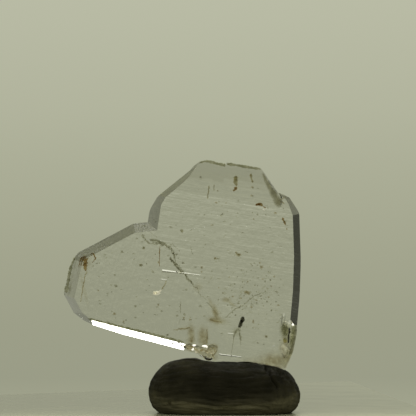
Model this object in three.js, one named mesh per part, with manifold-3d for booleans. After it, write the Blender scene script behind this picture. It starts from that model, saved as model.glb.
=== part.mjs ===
// A Japan law twin of quartz, standing in a lump of dark mounting putty.
// Two flattened crystals share one plate and their c-axes meet at 84.55 degrees, which gives the
// heart shape with its notch. Millimetres, +Z up. The plate lies in the XZ plane and its front looks
// along -Y. The origin is on the underside of the putty, below the middle of the whole object.
import * as THREE from "three";
import { ConvexGeometry } from "three/addons/geometries/ConvexGeometry.js";
import { mergeVertices } from "three/addons/utils/BufferGeometryUtils.js";
import Module from "manifold-3d";

const wasm = await Module();
wasm.setup();

const DEGREE = Math.PI / 180;

// Driving dimensions of the twin
const TWIN_ANGLE = 84.55; // between the two c-axes, in degrees
const RIGHT_TILT = 9; // the right crystal's c-axis, in degrees clockwise from vertical
const LEFT_TILT = RIGHT_TILT - TWIN_ANGLE;
const PLATE_FRONT = -0.65; // the front of the plate, which both crystals share
const RIGHT_THICKNESS = 1.3;
const LEFT_THICKNESS = 1.1;
const TWIN_FOOT = 2.7; // height of the broken foot, inside the putty

// Quartz's own angles: the heading of each face in the plate, from the c-axis, and the distance
// that it runs sideways for each millimetre of depth
const RHOMB_POLE = 51.8 * DEGREE; // from the c-axis to the normal of a rhombohedral face
const POLE_UP = Math.cos(RHOMB_POLE);
const POLE_OUT = Math.sin(RHOMB_POLE);
const PRISM = 90;
const RHOMB = Math.atan2(POLE_OUT * Math.sin(60 * DEGREE), POLE_UP) / DEGREE;
const PRISM_RUN = Math.tan(30 * DEGREE);
const RHOMB_RUN = (POLE_OUT * Math.cos(60 * DEGREE)) / Math.hypot(POLE_OUT * Math.sin(60 * DEGREE), POLE_UP);
const CAP_RUN = POLE_OUT / POLE_UP;
const LEANING_RUN = 0.65; // the faces beside the notch, which lean further than a prism face
const LEDGE_RUN = 1;
const WORN_RUN = 1.25; // the broken edges of the foot
const STEEP_RUN = 0.2;
const TIP_RUN = 0.82;
const SOFT_RUN = 2.475; // the gentle slopes that lead from the plate to the right crystal's cap
const FAINT_RUN = 7.1;

// The putty
const PUTTY_HALF_DEPTH = 4.3;
const PUTTY_GAP = 0.06; // between the crystal and the putty that holds it
const PUTTY_MIDDLE = [3.1, 1.6];
const PUTTY_POINTS = 72; // around its outline
const PUTTY_ROWS = 21; // from its front to its back
const PUTTY_ROUNDNESS = 0.5; // how fully its outline swells out; lower is fuller
const PUTTY_FLATNESS = 0.8;
// Its outline from the front, clockwise; the part below zero is pressed flat on the surface
const PUTTY_OUTLINE = [
  [-2.59, 1.75],
  [-2.42, 2.35],
  [-2.0, 3.0],
  [-1.28, 3.66],
  [-0.38, 3.92],
  [0.68, 4.02],
  [1.98, 3.8],
  [3.28, 3.79],
  [4.91, 3.74],
  [6.21, 3.54],
  [6.95, 3.4],
  [7.76, 3.12],
  [8.2, 2.72],
  [8.58, 2.08],
  [8.78, 1.35],
  [8.71, 0.75],
  [8.25, 0.1],
  [6.8, -0.42],
  [3.1, -0.5],
  [-0.5, -0.42],
  [-1.8, 0],
  [-2.35, 0.6],
];

function solidOf(geometry) {
  const bare = geometry.clone();
  bare.deleteAttribute("normal");
  bare.deleteAttribute("uv");
  const merged = mergeVertices(bare, 1e-5);
  return new wasm.Manifold(
    new wasm.Mesh({
      numProp: 3,
      vertProperties: new Float32Array(merged.attributes.position.array),
      triVerts: new Uint32Array(merged.index.array),
    }),
  );
}

function geometryOf(solid) {
  const mesh = solid.getMesh();
  const geometry = new THREE.BufferGeometry();
  geometry.setAttribute("position", new THREE.BufferAttribute(new Float32Array(mesh.vertProperties), 3));
  geometry.setIndex(new THREE.BufferAttribute(new Uint32Array(mesh.triVerts), 1));
  geometry.computeVertexNormals();
  return geometry;
}

// The convex solid inside a list of faces, each a THREE.Plane whose normal points out of the solid
function solidWithin(faces) {
  const corners = [];
  const isInside = (p) => faces.every((f) => f.distanceToPoint(p) < 1e-6);
  const isNew = (p) => corners.every((c) => c.distanceToSquared(p) > 1e-10);
  faces.forEach((a, i) =>
    faces.slice(i + 1).forEach((b, j) =>
      faces.slice(i + j + 2).forEach((c) => {
        const bc = new THREE.Vector3().crossVectors(b.normal, c.normal);
        const ca = new THREE.Vector3().crossVectors(c.normal, a.normal);
        const ab = new THREE.Vector3().crossVectors(a.normal, b.normal);
        const volume = a.normal.dot(bc);
        if (Math.abs(volume) < 1e-9) return;
        const corner = bc.multiplyScalar(-a.constant).addScaledVector(ca, -b.constant);
        corner.addScaledVector(ab, -c.constant).divideScalar(volume);
        if (isInside(corner) && isNew(corner)) corners.push(corner);
      }),
    ),
  );
  return solidOf(new ConvexGeometry(corners));
}

// A pair of side faces that meet in an edge. Heading is clockwise from the c-axis, reach is how far
// the edge lies from the origin, depth is how far the edge lies behind the plate's front, and run is
// how far each face spreads sideways for each millimetre of depth. A face that stands square to the
// plate has no run.
function sideFaces(tilt, { heading, reach, depth = 0, run = 0, only }, grow) {
  const turn = (tilt + heading) * DEGREE;
  const edge = new THREE.Vector3(Math.sin(turn), 0, Math.cos(turn)).multiplyScalar(reach);
  edge.y = PLATE_FRONT + depth;
  const looks = run === 0 ? [0] : [-1, 1].filter((look) => !only || look === only);
  return looks.map((look) => {
    const normal = new THREE.Vector3(Math.sin(turn), look * run, Math.cos(turn)).normalize();
    return new THREE.Plane(normal, -normal.dot(edge) - grow);
  });
}

const FRONT = -1;
const BACK = 1;

function flattenedCrystal({ tilt, thickness, sides }, grow) {
  return solidWithin([
    new THREE.Plane(new THREE.Vector3(0, -1, 0), PLATE_FRONT - grow),
    new THREE.Plane(new THREE.Vector3(0, 1, 0), -PLATE_FRONT - thickness - grow),
    new THREE.Plane(new THREE.Vector3(0, 0, -1), TWIN_FOOT - grow),
    ...sides.flatMap((side) => sideFaces(tilt, side, grow)),
  ]);
}

// The front of the right crystal's plate leans back a little towards the cap.
const capSlopes = [
  { heading: 0, reach: 17.3, depth: 0.135, run: FAINT_RUN, only: FRONT },
  { heading: 0, reach: 17.9, depth: 0.377, run: SOFT_RUN, only: FRONT },
];

// The right crystal stops at the plane that halves the angle between the two c-axes.
const rightSides = [
  ...capSlopes,
  { heading: -PRISM, reach: 4.85, depth: 1.25, run: LEANING_RUN },
  { heading: -68.6, reach: 9.84, depth: 1.15, run: 0.5 },
  { heading: -RHOMB, reach: 13.82, depth: 1.05, run: RHOMB_RUN },
  { heading: 46.2, reach: 15.25, depth: 1.15, run: STEEP_RUN },
  { heading: PRISM, reach: 5 },
  { heading: -TWIN_ANGLE / 2 - 90, reach: -5.6 },
];

const rightCrystal = {
  tilt: RIGHT_TILT,
  thickness: RIGHT_THICKNESS,
  sides: [...rightSides, { heading: 0, reach: 18.87, depth: RIGHT_THICKNESS, run: CAP_RUN }],
};

// Two parts of its top have grown a step higher, with a nick between them.
const rightCrests = [
  {
    ...rightCrystal,
    sides: [
      ...rightSides,
      { heading: -PRISM, reach: -0.3 },
      { heading: 0, reach: 19.02, depth: RIGHT_THICKNESS, run: CAP_RUN },
      { heading: 180, reach: -12 },
    ],
  },
  {
    ...rightCrystal,
    sides: [
      ...capSlopes,
      { heading: -21, reach: 18.14, depth: RIGHT_THICKNESS, run: CAP_RUN },
      { heading: -58, reach: 11.5, depth: 1.1, run: RHOMB_RUN },
      { heading: PRISM, reach: -0.56 },
      { heading: 0, reach: 18.93, depth: RIGHT_THICKNESS, run: CAP_RUN },
      { heading: 180, reach: -14 },
      { heading: -PRISM, reach: 2.4 },
    ],
  },
];

// The lower shoulder at the right, which widens and then narrows towards the foot in steps
const rightShoulder = {
  ...rightCrystal,
  sides: [
    ...capSlopes,
    { heading: -PRISM, reach: -3.4 },
    { heading: 15, reach: 17.94 },
    { heading: 15, reach: 17.94, depth: 0.3, run: LEDGE_RUN, only: FRONT },
    { heading: RHOMB, reach: 15.5, depth: 0.85, run: RHOMB_RUN },
    { heading: 60, reach: 13.47, depth: 0.9, run: PRISM_RUN },
    { heading: 79.2, reach: 9.2, depth: 0.92, run: PRISM_RUN },
    { heading: 82.9, reach: 8.47, depth: 0.96, run: PRISM_RUN },
    { heading: 86.2, reach: 7.94, depth: 1, run: PRISM_RUN },
    { heading: 92.3, reach: 7.2, depth: 1, run: PRISM_RUN },
    { heading: 102.5, reach: 6, depth: 1, run: PRISM_RUN },
  ],
};

// Below the shoulder the same edge is broken, and slopes less
const brokenEdge = {
  ...rightCrystal,
  sides: [
    { heading: -PRISM, reach: -5 },
    { heading: 8, reach: 8.72 },
    { heading: 86.2, reach: 7.94 },
    { heading: 86.2, reach: 7.94, depth: 0.36, run: WORN_RUN, only: FRONT },
    { heading: 92.3, reach: 7.2 },
    { heading: 92.3, reach: 7.2, depth: 0.36, run: WORN_RUN, only: FRONT },
    { heading: 102.5, reach: 6 },
    { heading: 102.5, reach: 6, depth: 0.36, run: WORN_RUN, only: FRONT },
  ],
};

// The right crystal's foot, which reaches further left than the rest of it
const rightFoot = {
  tilt: RIGHT_TILT,
  thickness: LEFT_THICKNESS,
  sides: [
    { heading: -PRISM, reach: -1.55 },
    { heading: 0, reach: 5.3 },
    { heading: PRISM, reach: 5 },
  ],
};

// The left crystal, whose right end is buried in the right crystal
const leftCrystal = {
  tilt: LEFT_TILT,
  thickness: LEFT_THICKNESS,
  sides: [
    { heading: 70, reach: 14.43, depth: 1.07, run: LEANING_RUN },
    { heading: RHOMB, reach: 14.24, depth: 1.05, run: LEANING_RUN },
    { heading: 19, reach: 13.18, depth: 0.9, run: 0.8, only: FRONT },
    { heading: 19, reach: 13.18, depth: 0.9, run: STEEP_RUN, only: BACK },
    { heading: -2, reach: 10.67, depth: LEFT_THICKNESS, run: TIP_RUN },
    { heading: -42.5, reach: 3.74, depth: 1, run: 0.6 },
    { heading: -66.9, reach: -0.9, depth: 1, run: 0.42 },
    { heading: -PRISM, reach: -4.5, depth: 0.85, run: PRISM_RUN },
    { heading: -85.5, reach: -4.04, depth: 0.8, run: STEEP_RUN, only: BACK },
    { heading: 90 - LEFT_TILT, reach: 6.8 },
  ],
};

// The last of the left crystal's lower edge, which stands square beside the small crystals
const leftHeel = {
  tilt: LEFT_TILT,
  thickness: LEFT_THICKNESS,
  sides: [
    { heading: 0, reach: 1.1 },
    { heading: PRISM, reach: 5.6 },
    { heading: -PRISM, reach: -4.5 },
    { heading: 180, reach: 1.5 },
  ],
};

// Small rounded crystals that have grown together at the twin's lower edge; turn spins each one in
// the plate and pitch tips it out of the plate
const CLUSTER = [
  { at: [0.5, -0.43, 4.93], half: [0.42, 0.3, 0.34], turn: 14, pitch: 0 },
  { at: [1.05, -0.43, 4.78], half: [0.4, 0.3, 0.36], turn: 20, pitch: 8 },
  { at: [1.55, -0.4, 4.8], half: [0.5, 0.34, 0.36], turn: -30, pitch: 4 },
  { at: [2.2, -0.42, 4.72], half: [0.5, 0.34, 0.46], turn: -35, pitch: 6 },
  { at: [1.5, -0.1, 4.35], half: [0.42, 0.16, 0.22], turn: 22, pitch: 0 },
  { at: [1.92, -0.15, 4.2], half: [0.36, 0.16, 0.34], turn: 40, pitch: -8 },
];
const CRYSTAL_SIDES = 14;
const CRYSTAL_ROWS = 10;

function roundedCrystal({ at, half, turn, pitch }, grow) {
  const crystal = new THREE.SphereGeometry(1, CRYSTAL_SIDES, CRYSTAL_ROWS);
  crystal.scale(...half.map((size) => size + grow));
  crystal.rotateX(pitch * DEGREE).rotateY(turn * DEGREE);
  return solidOf(crystal.translate(...at));
}

// Narrow ledges in the front face, each from one end to the other with its height at both ends. The
// wall above a ledge looks down steeply, and the ledge itself runs back out to the face below.
const LEDGE_DEPTH = 0.9; // depth of the wall, in its heights
const LEDGE_BELOW = 1; // height of the ledge below the wall, in the same heights
const LEDGES = [
  { from: [-1.55, 10.6], to: [1.3, 10.27], heights: [0.1, 0.03] },
  { from: [-1.65, 9.95], to: [-1.2, 9.93], heights: [0.045, 0.03] },
  { from: [2.7, 4.36], to: [4.35, 4.16], heights: [0.055, 0.035] },
  { from: [3.35, 5.92], to: [3.78, 5.88], heights: [0.045, 0.03] },
];

function ledgeCut({ from, to, heights }) {
  const start = new THREE.Vector3(from[0], PLATE_FRONT, from[1]);
  const end = new THREE.Vector3(to[0], PLATE_FRONT, to[1]);
  const back = new THREE.Vector3(0, 1, 0);
  const up = end.clone().sub(start).cross(back).normalize();
  const section = [
    [1, -1],
    [1, 0],
    [0, LEDGE_DEPTH],
    [-LEDGE_BELOW, 0],
    [-LEDGE_BELOW, -1],
  ];
  const corners = [start, end].flatMap((place, i) =>
    section.map(([rise, depth]) =>
      place.clone().addScaledVector(up, rise * heights[i]).addScaledVector(back, depth * heights[i]),
    ),
  );
  return solidOf(new ConvexGeometry(corners));
}

// Shell-shaped chips: a run of them off the front edge at the lower right, and two in the left tip
const CHIPS = [
  { middle: [8.5, -0.9, 6.3], half: [0.95, 0.47, 0.95], turn: 20 },
  { middle: [8.25, -0.88, 5.3], half: [0.7, 0.42, 1.15], turn: -14 },
  { middle: [8.6, -0.85, 4.95], half: [0.8, 0.5, 0.8], turn: 35 },
  { middle: [7.75, -0.82, 4.4], half: [0.42, 0.28, 0.95], turn: -24 },
  { middle: [7.5, -0.75, 6.95], half: [0.15, 0.2, 0.6], turn: 8 },
  { middle: [-9.0, -0.1, 9.62], half: [0.3, 0.5, 0.22], turn: 10 },
  { middle: [-8.85, 0.3, 10.75], half: [0.2, 0.4, 0.35], turn: -12 },
];

const SHELL_SIDES = 40;
const SHELL_ROWS = 24;

function chipCut({ middle, half, turn }) {
  const shell = new THREE.SphereGeometry(1, SHELL_SIDES, SHELL_ROWS).scale(...half);
  return solidOf(shell.rotateY(turn * DEGREE).translate(...middle));
}

// The hollow between the top and the right shoulder: a slanting wall on its left, which starts at the
// front and is deepest below the nick. Each corner is x, depth behind the front, z.
const HOLLOW = [
  [5.81, -0.05, 18.34],
  [6.49, -0.05, 16.2],
  [6.85, -0.05, 15.6],
  [7.24, -0.05, 15.29],
  [7.52, -0.05, 15.64],
  [7.36, -0.05, 16.56],
  [6.38, -0.05, 18.53],
  [6.41, 0.65, 18.36],
  [7.15, 0.65, 16.6],
  [7.34, 0.4, 15.98],
];

function hollowCut() {
  const corners = HOLLOW.map(([x, depth, z]) => new THREE.Vector3(x, PLATE_FRONT + depth, z));
  return solidOf(new ConvexGeometry(corners));
}

function twinSolid(grow = 0) {
  const right = [rightCrystal, ...rightCrests, rightShoulder, brokenEdge, rightFoot];
  const left = [leftCrystal, leftHeel];
  const solids = [...right, ...left].map((one) => flattenedCrystal(one, grow));
  solids.push(...CLUSTER.map((one) => roundedCrystal(one, grow)));
  const whole = solids.reduce((all, one) => all.add(one));
  const cuts = grow > 0 ? [] : [...LEDGES.map(ledgeCut), ...CHIPS.map(chipCut), hollowCut()];
  return cuts.reduce((left, cut) => left.subtract(cut), whole);
}

// The putty: its front outline, closed towards the front and the back like a cushion
function puttySolid() {
  const outline = new THREE.CatmullRomCurve3(
    PUTTY_OUTLINE.map(([x, z]) => new THREE.Vector3(x, 0, z)),
    true,
  ).getSpacedPoints(PUTTY_POINTS);
  const corners = [];
  const faces = [];
  const around = outline.length - 1;
  const [middleX, middleZ] = PUTTY_MIDDLE;
  for (let row = 1; row < PUTTY_ROWS; row++) {
    const turn = Math.PI * (row / PUTTY_ROWS - 0.5);
    const inward = Math.cos(turn) ** PUTTY_ROUNDNESS;
    const y = Math.sign(turn) * Math.abs(Math.sin(turn)) ** PUTTY_FLATNESS * PUTTY_HALF_DEPTH;
    for (let i = 0; i < around; i++) {
      const { x, z } = outline[i];
      corners.push(middleX + (x - middleX) * inward, y, middleZ + (z - middleZ) * inward);
    }
  }
  const last = corners.length / 3;
  corners.push(middleX, -PUTTY_HALF_DEPTH, middleZ, middleX, PUTTY_HALF_DEPTH, middleZ);
  for (let i = 0; i < around; i++) {
    const next = (i + 1) % around;
    for (let row = 0; row < PUTTY_ROWS - 2; row++) {
      const a = row * around;
      const b = a + around;
      faces.push(a + i, a + next, b + next, a + i, b + next, b + i);
    }
    faces.push(last, next, i);
    const end = (PUTTY_ROWS - 2) * around;
    faces.push(last + 1, end + i, end + next);
  }
  const lump = new THREE.BufferGeometry();
  lump.setAttribute("position", new THREE.Float32BufferAttribute(corners, 3));
  lump.setIndex(faces);
  const aboveSurface = new THREE.BoxGeometry(40, 40, 20).translate(0, 0, 10);
  return solidOf(lump).intersect(solidOf(aboveSurface)).subtract(twinSolid(PUTTY_GAP));
}

const quartz = new THREE.MeshStandardMaterial({
  color: 0xd9dccb,
  roughness: 0.05,
  metalness: 0,
  transparent: true,
  opacity: 0.35,
});
const putty = new THREE.MeshStandardMaterial({ color: 0x2a281d, roughness: 0.7, metalness: 0 });

function named(name, solid, material) {
  const mesh = new THREE.Mesh(geometryOf(solid), material);
  mesh.name = name;
  return mesh;
}

const group = new THREE.Group();
group.add(named("quartz_twin", twinSolid(), quartz));
group.add(named("putty_base", puttySolid(), putty));

export default group;
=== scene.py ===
"""A Japan law twin of quartz in its lump of dark mounting putty, lit from behind."""

import math
import random

import bmesh
import bpy
import numpy as np
from mathutils import Matrix, Vector, noise


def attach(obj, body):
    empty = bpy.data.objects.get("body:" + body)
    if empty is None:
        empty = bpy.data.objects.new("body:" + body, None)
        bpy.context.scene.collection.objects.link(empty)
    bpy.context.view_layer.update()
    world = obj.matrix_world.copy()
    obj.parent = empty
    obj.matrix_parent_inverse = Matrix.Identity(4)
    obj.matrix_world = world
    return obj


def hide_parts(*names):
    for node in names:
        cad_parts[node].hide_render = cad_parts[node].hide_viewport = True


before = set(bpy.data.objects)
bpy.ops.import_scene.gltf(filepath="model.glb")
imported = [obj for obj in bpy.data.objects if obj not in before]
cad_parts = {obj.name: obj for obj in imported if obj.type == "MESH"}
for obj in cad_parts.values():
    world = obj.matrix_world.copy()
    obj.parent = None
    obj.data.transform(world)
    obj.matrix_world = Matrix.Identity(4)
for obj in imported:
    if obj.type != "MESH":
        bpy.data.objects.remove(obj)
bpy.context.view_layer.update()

MM = 0.001

# The view: millimetres per pixel at the crystal, and the pixel that shows the origin
PIXEL = 0.075
HALF_PIXEL = PIXEL / 2
ORIGIN_ACROSS = 183
ORIGIN_DOWN = 412

# The camera, in millimetres
CAMERA_PLACE = Vector((1.875, -200, 12))
CAMERA_TARGET = Vector((1.875, 0, 15.3))
CAMERA_DISTANCE = 200
SENSOR_WIDTH = 36
VIEW_WIDTH = 31.2  # what the picture spans at the crystal

# The twin, in degrees and millimetres
TWIN_ANGLE = 84.55
RIGHT_TURN = 9
RIGHT_TILT = math.radians(RIGHT_TURN)
LEFT_TILT = math.radians(RIGHT_TURN - TWIN_ANGLE)
LEFT_BACK = 0.456  # just behind the left crystal's back
RIGHT_BACK = 0.656  # just behind the right crystal's back
SEAM_NORMAL = (0.836, 0.549)  # X and Z of the way that the plane between the crystals faces
SEAM_REACH = 5.6  # from the origin to that plane
QUARTZ_IOR = 1.544
GROWTH_SCALE = (0.35, 0.5, 7.0)  # how often the growth lines change each way, per millimetre
GROWTH_RELIEF = 0.045

scene = bpy.context.scene
scene.view_settings.view_transform = "Standard"


def add(name, mesh):
    """A new object for the scene."""
    obj = bpy.data.objects.new(name, mesh)
    scene.collection.objects.link(obj)
    return obj


def mesh_from(name, points, faces, smooth=True):
    """A mesh from points in millimetres."""
    mesh = bpy.data.meshes.new(name)
    mesh.from_pydata([tuple(c * MM for c in p) for p in points], [], faces)
    mesh.validate()
    if smooth:
        mesh.polygons.foreach_set("use_smooth", [True] * len(mesh.polygons))
    return mesh


def spot(px, py, depth=0.0):
    """The place in the plate that shows at a pixel of the view, in millimetres."""
    return Vector(((px - ORIGIN_ACROSS) * PIXEL, depth, (ORIGIN_DOWN - py) * PIXEL))
class Nodes:
    """Short ways to build a node tree."""

    def __init__(self, owner):
        owner.use_nodes = True
        self.tree = owner.node_tree
        self.tree.nodes.clear()

    def add(self, kind, inputs=None, **settings):
        """A new node; an input is a number, a colour or another node's output."""
        node = self.tree.nodes.new(kind)
        for key, value in settings.items():
            setattr(node, key, value)
        for key, value in (inputs or {}).items():
            socket = node.inputs[key]
            if isinstance(value, bpy.types.NodeSocket):
                self.tree.links.new(value, socket)
            else:
                socket.default_value = value
        return node

    def math(self, operation, a, b=0.0, c=0.0):
        """One sum on numbers."""
        node = self.add("ShaderNodeMath", {0: a, 1: b, 2: c}, operation=operation)
        return node.outputs[0]

    def ramp(self, value, stops, interpolation="LINEAR"):
        """Colours, or greys given as one number, at places from 0 to 1."""
        node = self.add("ShaderNodeValToRGB", {"Fac": value})
        ramp = node.color_ramp
        ramp.interpolation = interpolation
        while len(ramp.elements) < len(stops):
            ramp.elements.new(1)
        for element, (place, colour) in zip(ramp.elements, stops):
            element.position = place
            if not isinstance(colour, tuple):
                colour = (colour,) * 3
            element.color = (*colour, 1)
        return node.outputs["Color"]

    def mix(self, factor, a, b, blend="MIX"):
        """Two colours mixed."""
        node = self.add("ShaderNodeMix", data_type="RGBA", blend_type=blend)
        for key, value in ((0, factor), (6, a), (7, b)):
            if isinstance(value, bpy.types.NodeSocket):
                self.tree.links.new(value, node.inputs[key])
            elif key == 0:
                node.inputs[key].default_value = value
            else:
                node.inputs[key].default_value = (*value, 1) if len(value) == 3 else value
        return node.outputs[2]

    def noise(self, place, scale, detail):
        """Soft noise from 0 to 1."""
        inputs = {"Vector": place, "Scale": scale, "Detail": detail}
        return self.add("ShaderNodeTexNoise", inputs).outputs["Fac"]
def material(name):
    """A new material with an empty node tree."""
    mat = bpy.data.materials.new(name)
    return mat, Nodes(mat)


def set_camera():
    """A long lens, straight in front of the crystal."""
    data = bpy.data.cameras.new("camera")
    data.sensor_width = SENSOR_WIDTH
    data.lens = SENSOR_WIDTH * CAMERA_DISTANCE / VIEW_WIDTH
    data.clip_start = 0.005
    data.clip_end = 5
    camera = add("camera", data)
    camera.location = CAMERA_PLACE * MM
    aim = CAMERA_TARGET * MM - camera.location
    camera.rotation_euler = aim.to_track_quat("-Z", "Y").to_euler()
    scene.camera = camera


# The studio's colour, from straight below (0) to straight above (1)
SKY_COLOURS = [
    (0.0, (0.10, 0.10, 0.07)),
    (0.30, (0.31, 0.317, 0.222)),
    (0.40, (0.342, 0.35, 0.25)),
    (0.44, (0.385, 0.395, 0.284)),
    (0.466, (0.40, 0.41, 0.295)),
    (0.4755, (0.325, 0.335, 0.243)),
    (0.4865, (0.335, 0.345, 0.248)),
    (0.50, (0.367, 0.377, 0.272)),
    (0.5145, (0.405, 0.417, 0.305)),
    (0.5273, (0.445, 0.457, 0.34)),
    (0.5462, (0.485, 0.498, 0.376)),
    (0.62, (0.45, 0.46, 0.36)),
    (1.0, (0.30, 0.31, 0.25)),
]
# Its brightness all round: 0 and 1 are in front of the crystal, 0.5 is behind it, 0.75 at its right
LOW_BRIGHTNESS = [
    (0.0, 0.10), (0.20, 0.20), (0.30, 0.45), (0.36, 0.13), (0.385, 0.11), (0.41, 0.14), (0.455, 0.98),
    (0.50, 1.0), (0.54, 1.0), (0.565, 0.96), (0.60, 0.56), (0.63, 0.27), (0.70, 0.45), (0.80, 0.20),
    (1.0, 0.10),
]
HIGH_BRIGHTNESS = [
    (0.0, 0.10), (0.28, 0.14), (0.34, 0.45), (0.40, 0.52), (0.46, 1.0), (0.54, 1.0), (0.58, 0.68),
    (0.64, 0.55), (0.72, 0.18), (1.0, 0.10),
]
LOW_HEIGHTS = [(0.40, 0.0), (0.455, 1.0), (0.55, 1.0), (0.62, 0.0)]
# A pale strip above and behind the crystal
STRIP_COLOUR = (0.95, 0.96, 0.80)
STRIP_AROUND = [(0.455, 0.0), (0.48, 1.0), (0.52, 1.0), (0.545, 0.0)]
STRIP_HEIGHTS = [(0.665, 0.0), (0.69, 1.0), (0.745, 1.0), (0.775, 0.0)]


def set_sky():
    """A soft studio all round, brightest behind the crystal."""
    world = bpy.data.worlds.new("studio")
    scene.world = world
    n = Nodes(world)
    toward = n.add("ShaderNodeTexCoord").outputs["Generated"]
    axes = n.add("ShaderNodeSeparateXYZ", {0: toward})
    height = n.math("MULTIPLY_ADD", axes.outputs["Z"], 0.5, 0.5)
    turn = n.math("ARCTAN2", axes.outputs["X"], axes.outputs["Y"])
    turn = n.math("MULTIPLY_ADD", turn, 0.5 / math.pi, 0.5)
    low = n.ramp(turn, LOW_BRIGHTNESS)
    high = n.ramp(turn, HIGH_BRIGHTNESS)
    around = n.mix(n.ramp(height, LOW_HEIGHTS), high, low)
    strip = n.mix(1.0, n.ramp(turn, STRIP_AROUND), n.ramp(height, STRIP_HEIGHTS), "MULTIPLY")
    glow = n.mix(strip, n.ramp(height, SKY_COLOURS), STRIP_COLOUR)
    colour = n.mix(1.0, glow, around, "MULTIPLY")
    background = n.add("ShaderNodeBackground", {"Color": colour, "Strength": 1.0})
    n.add("ShaderNodeOutputWorld", {"Surface": background.outputs[0]})


def softbox(name, place, size, strength, colour, target=(0, 0, 8)):
    """A soft rectangular lamp; strength is its brightness, so 1 renders as white."""
    data = bpy.data.lights.new(name, "AREA")
    data.shape = "RECTANGLE"
    data.size, data.size_y = (s * MM for s in size)
    data.energy = strength * math.pi * data.size * data.size_y
    data.color = colour
    lamp = add(name, data)
    lamp.location = Vector(place) * MM
    aim = (Vector(target) - Vector(place)).to_track_quat("-Z", "Y")
    lamp.rotation_euler = aim.to_euler()
    return lamp


def set_lamps():
    """The big lamp behind the crystal, a weak one above it, and one that lights the putty's front."""
    softbox("softbox_back", (12, 95, 88), (52, 42), 5.0, (1.0, 1.0, 0.95))
    softbox("softbox_top", (0, 22, 110), (60, 36), 1.2, (1.0, 1.0, 0.93), (0, 22, 0))
    low = softbox("softbox_low", (3.1, -14, 6), (44, 16), 1.7, (1.0, 0.97, 0.80), (3.1, -14, 0))
    low.visible_camera = False
    low.visible_transmission = False
    low.visible_glossy = False


FLOOR_CORNERS = [(15, 48), (24, -70), (-75, -70), (-75, -5), (-16, 24)]
FLOOR_THICKNESS = 2
FLOOR_SPAN = 60  # the width over which the floor grows paler


def floor_material():
    """A pale, faintly speckled, smooth surface, which is paler at the right."""
    mat, n = material("floor")
    place = n.add("ShaderNodeTexCoord").outputs["Object"]
    speckle = n.noise(place, 300.0, 3.0)
    across = n.add("ShaderNodeSeparateXYZ", {0: place}).outputs["X"]
    across = n.math("MULTIPLY_ADD", across, 1 / (FLOOR_SPAN * MM), 0.5)
    paler = n.ramp(across, [(0.2, 0.74), (0.62, 0.74), (0.80, 1.0)])
    base = n.ramp(speckle, [(0.3, (0.47, 0.48, 0.33)), (0.7, (0.55, 0.555, 0.385))])
    colour = n.mix(1.0, base, paler, "MULTIPLY")
    shader = n.add("ShaderNodeBsdfPrincipled", {"Base Color": colour, "Roughness": 0.18, "IOR": 1.32})
    n.add("ShaderNodeOutputMaterial", {"Surface": shader.outputs[0]})
    return mat


def set_floor():
    """The slab that the putty stands on."""
    count = len(FLOOR_CORNERS)
    top = [(x, y, 0) for x, y in FLOOR_CORNERS]
    bottom = [(x, y, -FLOOR_THICKNESS) for x, y in FLOOR_CORNERS]
    ends = [tuple(range(count))[::-1], tuple(range(count, 2 * count))]
    sides = [(i, (i + 1) % count, count + (i + 1) % count, count + i) for i in range(count)]
    mesh = mesh_from("floor", top + bottom, ends + sides, smooth=False)
    floor = add("floor", mesh)
    mesh.materials.append(floor_material())


set_camera()
set_sky()
set_lamps()
set_floor()


def in_millimetres(n):
    """Object coordinates in millimetres."""
    place = n.add("ShaderNodeTexCoord").outputs["Object"]
    return n.add("ShaderNodeVectorMath", {0: place, "Scale": 1 / MM}, operation="SCALE").outputs[0]


def striations(n, place, tilt, seed):
    """Fine lines square to a crystal's c-axis, as a height from 0 to 1."""
    turned = n.add("ShaderNodeVectorRotate", {"Vector": place, "Axis": (0, 1, 0), "Angle": -tilt})
    turned.rotation_type = "AXIS_ANGLE"
    inputs = {"Vector": turned.outputs[0], "Scale": GROWTH_SCALE, "Location": (seed, 0, 0)}
    lines = n.add("ShaderNodeMapping", inputs).outputs[0]
    fine = n.noise(lines, 1.0, 4.0)
    patch = n.ramp(n.noise(place, 0.35, 2.0), [(0.35, 0.25), (0.65, 1.0)])
    return n.mix(1.0, fine, patch, "MULTIPLY")


def quartz_material():
    """Clear quartz with fine growth lines, which turn at the seam of the twin."""
    mat, n = material("quartz")
    place = in_millimetres(n)
    axes = n.add("ShaderNodeSeparateXYZ", {0: place})
    side = n.math("MULTIPLY_ADD", axes.outputs["X"], SEAM_NORMAL[0], -SEAM_REACH)
    side = n.math("MULTIPLY_ADD", axes.outputs["Z"], SEAM_NORMAL[1], side)
    is_right = n.math("GREATER_THAN", side, 0.0)
    right = striations(n, place, RIGHT_TILT, 3.1)
    left = striations(n, place, LEFT_TILT, 8.7)
    height = n.mix(0.5, n.mix(is_right, left, right), n.noise(place, 2.2, 5.0))
    facing = n.add("ShaderNodeSeparateXYZ", {0: n.add("ShaderNodeTexCoord").outputs["Normal"]})
    on_plate = n.ramp(n.math("ABSOLUTE", facing.outputs["Y"]), [(0.7, 0.28), (0.95, 1.0)])
    on_right = n.ramp(facing.outputs["X"], [(0.55, 0.0), (0.8, 1.0)])
    height = n.mix(1.0, height, n.mix(1.0, on_plate, on_right, "LIGHTEN"), "MULTIPLY")
    bump = n.add("ShaderNodeBump", {"Strength": 1.0, "Distance": GROWTH_RELIEF * MM, "Height": height})
    shader = n.add(
        "ShaderNodeBsdfPrincipled",
        {
            "Base Color": (1, 1, 1, 1),
            "Roughness": 0.0,
            "IOR": QUARTZ_IOR,
            "Transmission Weight": 1.0,
            "Normal": bump.outputs[0],
        },
    )
    absorb = n.add("ShaderNodeVolumeAbsorption", {"Color": (0.3, 0.3, 0.05, 1), "Density": 95})
    n.add("ShaderNodeOutputMaterial", {"Surface": shader.outputs[0], "Volume": absorb.outputs[0]})
    return mat


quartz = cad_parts["quartz_twin"]
for slot in quartz.material_slots:
    slot.material = quartz_material()


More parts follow.
